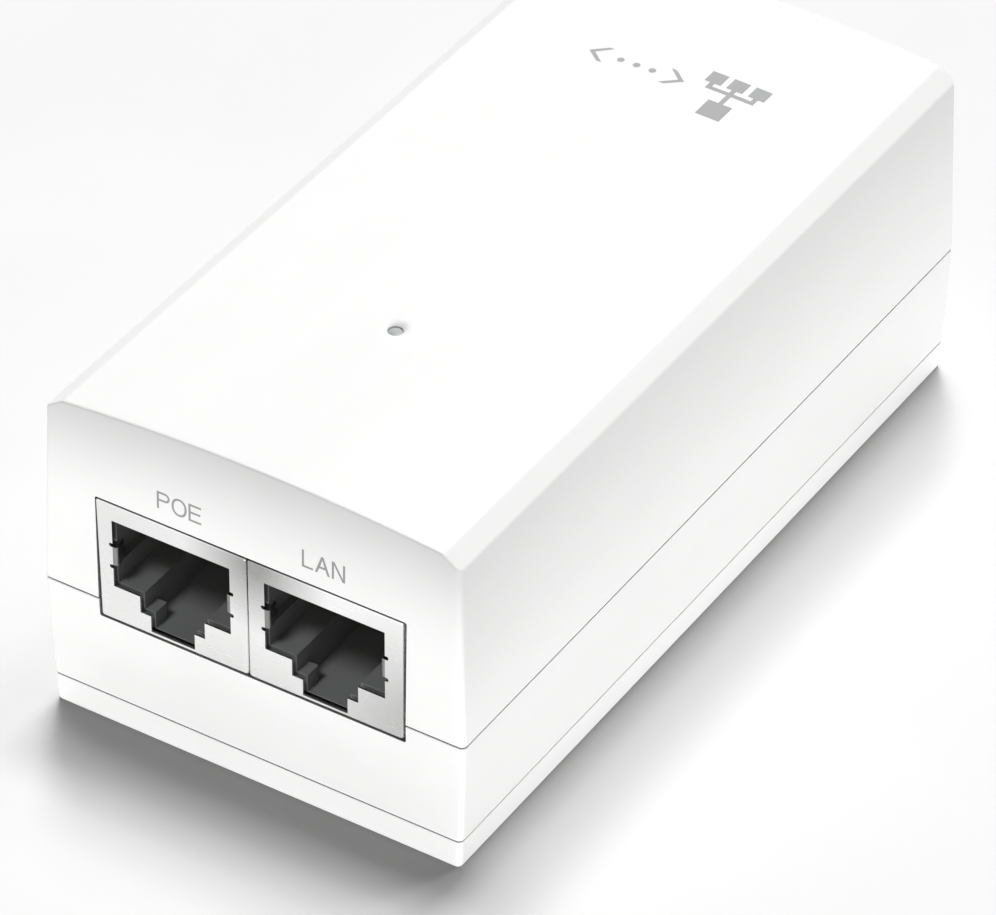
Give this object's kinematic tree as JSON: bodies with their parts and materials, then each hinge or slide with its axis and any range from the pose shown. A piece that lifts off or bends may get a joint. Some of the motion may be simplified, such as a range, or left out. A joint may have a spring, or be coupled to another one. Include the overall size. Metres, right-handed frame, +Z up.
{
  "type": "poe injector",
  "caption": "Mains-powered network power injector: white two-part case on a slide-off wall bracket, shielded jacks in front, mains inlet behind.",
  "frame": {"origin": "centre of the bracket underside, where the object rests", "axes": "+Z up, the network jacks face -Y, the mains inlet faces +Y, +X to the right when the jacks are looked at"},
  "size_m": [0.0436, 0.0864, 0.0351],
  "materials": {
    "case_plastic": "fine matt moulding texture, white",
    "bracket_plastic": "fine matt moulding texture, white",
    "zinc_steel": "zinc plated",
    "light_pipe": "frosted clear",
    "insulation": "pressed barrier paper",
    "plated_steel": "tin plated, satin",
    "black_plastic": "satin black moulding",
    "inlet_plastic": "satin black moulding",
    "blade_metal": "nickel plated",
    "gold_contact": "gold plated spring alloy",
    "board": "green solder mask",
    "ferrite": "sintered ferrite",
    "winding_tape": "polyester tape over copper wire",
    "copper": "enamelled wire",
    "capacitor_sleeve": "shrunk sleeve",
    "film_capacitor": "moulded box",
    "ceramic_disc": "dipped coating",
    "chip_package": "moulded epoxy",
    "aluminium": "plain sheet"
  },
  "bodies": {
    "case": {"ac_earth_blade": "blade_metal", "ac_inlet_body": "inlet_plastic", "ac_line_blade": "blade_metal", "ac_neutral_blade": "blade_metal", "bottom_case": "case_plastic", "bridge_rectifier": "chip_package", "bulk_capacitor": "capacitor_sleeve", "case_screw_1": "zinc_steel", "case_screw_2": "zinc_steel", "case_screw_3": "zinc_steel", "case_screw_4": "zinc_steel", "choke_core": "ferrite", "choke_winding_1": "copper", "choke_winding_2": "copper", "heat_sink": "aluminium", "insulation_sheet": "insulation", "lan_contact_carrier": "black_plastic", "lan_jack_insert": "black_plastic", "lan_jack_shield": "plated_steel", "lan_magnetics": "chip_package", "led_light_pipe": "light_pipe", "main_board": "board", "mains_fuse": "chip_package", "optocoupler": "chip_package", "output_capacitor_1": "capacitor_sleeve", "output_capacitor_2": "capacitor_sleeve", "output_inductor": "ferrite", "output_rectifier": "chip_package", "poe_contact_carrier": "black_plastic", "poe_jack_insert": "black_plastic", "poe_jack_shield": "plated_steel", "status_led": "light_pipe", "surge_varistor": "ceramic_disc", "switching_controller": "chip_package", "top_cover": "case_plastic", "transformer_core": "ferrite", "transformer_winding": "winding_tape", "x_capacitor": "film_capacitor", "y_capacitor": "ceramic_disc"},
    "bracket": {"wall_bracket": "bracket_plastic"},
    "poe_contacts": {"poe_contact_1": "gold_contact", "poe_contact_2": "gold_contact", "poe_contact_3": "gold_contact", "poe_contact_4": "gold_contact", "poe_contact_5": "gold_contact", "poe_contact_6": "gold_contact", "poe_contact_7": "gold_contact", "poe_contact_8": "gold_contact"},
    "lan_contacts": {"lan_contact_1": "gold_contact", "lan_contact_2": "gold_contact", "lan_contact_3": "gold_contact", "lan_contact_4": "gold_contact", "lan_contact_5": "gold_contact", "lan_contact_6": "gold_contact", "lan_contact_7": "gold_contact", "lan_contact_8": "gold_contact"}
  },
  "joints": [
    {"name": "bracket_slide", "type": "slide", "parent": "case", "child": "bracket", "axis": [0, -1, 0], "range_m": [0, 0.004]},
    {"name": "poe_contact_flex", "type": "hinge", "parent": "case", "child": "poe_contacts", "pos_m": [-0.00824, -0.0411, 0.02395], "axis": [1, 0, 0], "range_deg": [0, 7], "stiffness_Nm_per_rad": 0.1},
    {"name": "lan_contact_flex", "type": "hinge", "parent": "case", "child": "lan_contacts", "pos_m": [0.00764, -0.0411, 0.02395], "axis": [1, 0, 0], "range_deg": [0, 7], "stiffness_Nm_per_rad": 0.1}
  ]
}
